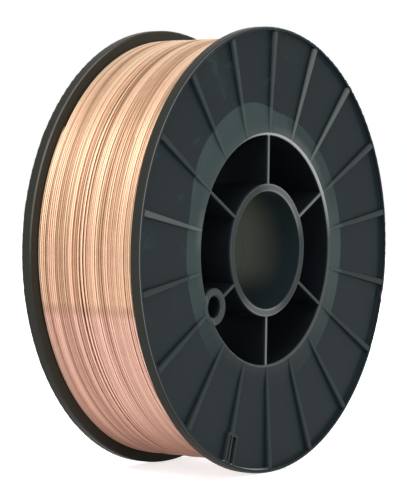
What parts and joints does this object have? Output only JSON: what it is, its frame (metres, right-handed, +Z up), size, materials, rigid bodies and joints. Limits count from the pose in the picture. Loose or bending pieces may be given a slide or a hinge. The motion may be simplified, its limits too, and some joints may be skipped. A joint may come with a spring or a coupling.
{
  "type": "spool of welding wire",
  "caption": "Two-part moulded plastic spool with ribbed flanges and a spoked hub, wound full with fine copper-coated steel welding wire.",
  "frame": {"origin": "centre of the hub's bore, midway between the two flanges", "axes": "+Y along the spool's axis, away from the front flange; +Z up; the spool stands on its rims"},
  "size_m": [0.2, 0.0632, 0.2],
  "materials": {
    "spool_plastic": "black moulded plastic with a soft sheen",
    "coated_wire": "bright copper-coated steel wire"
  },
  "bodies": {
    "root": {"front_half": "spool_plastic", "back_half": "spool_plastic", "wire_coil": "coated_wire"}
  },
  "joints": []
}
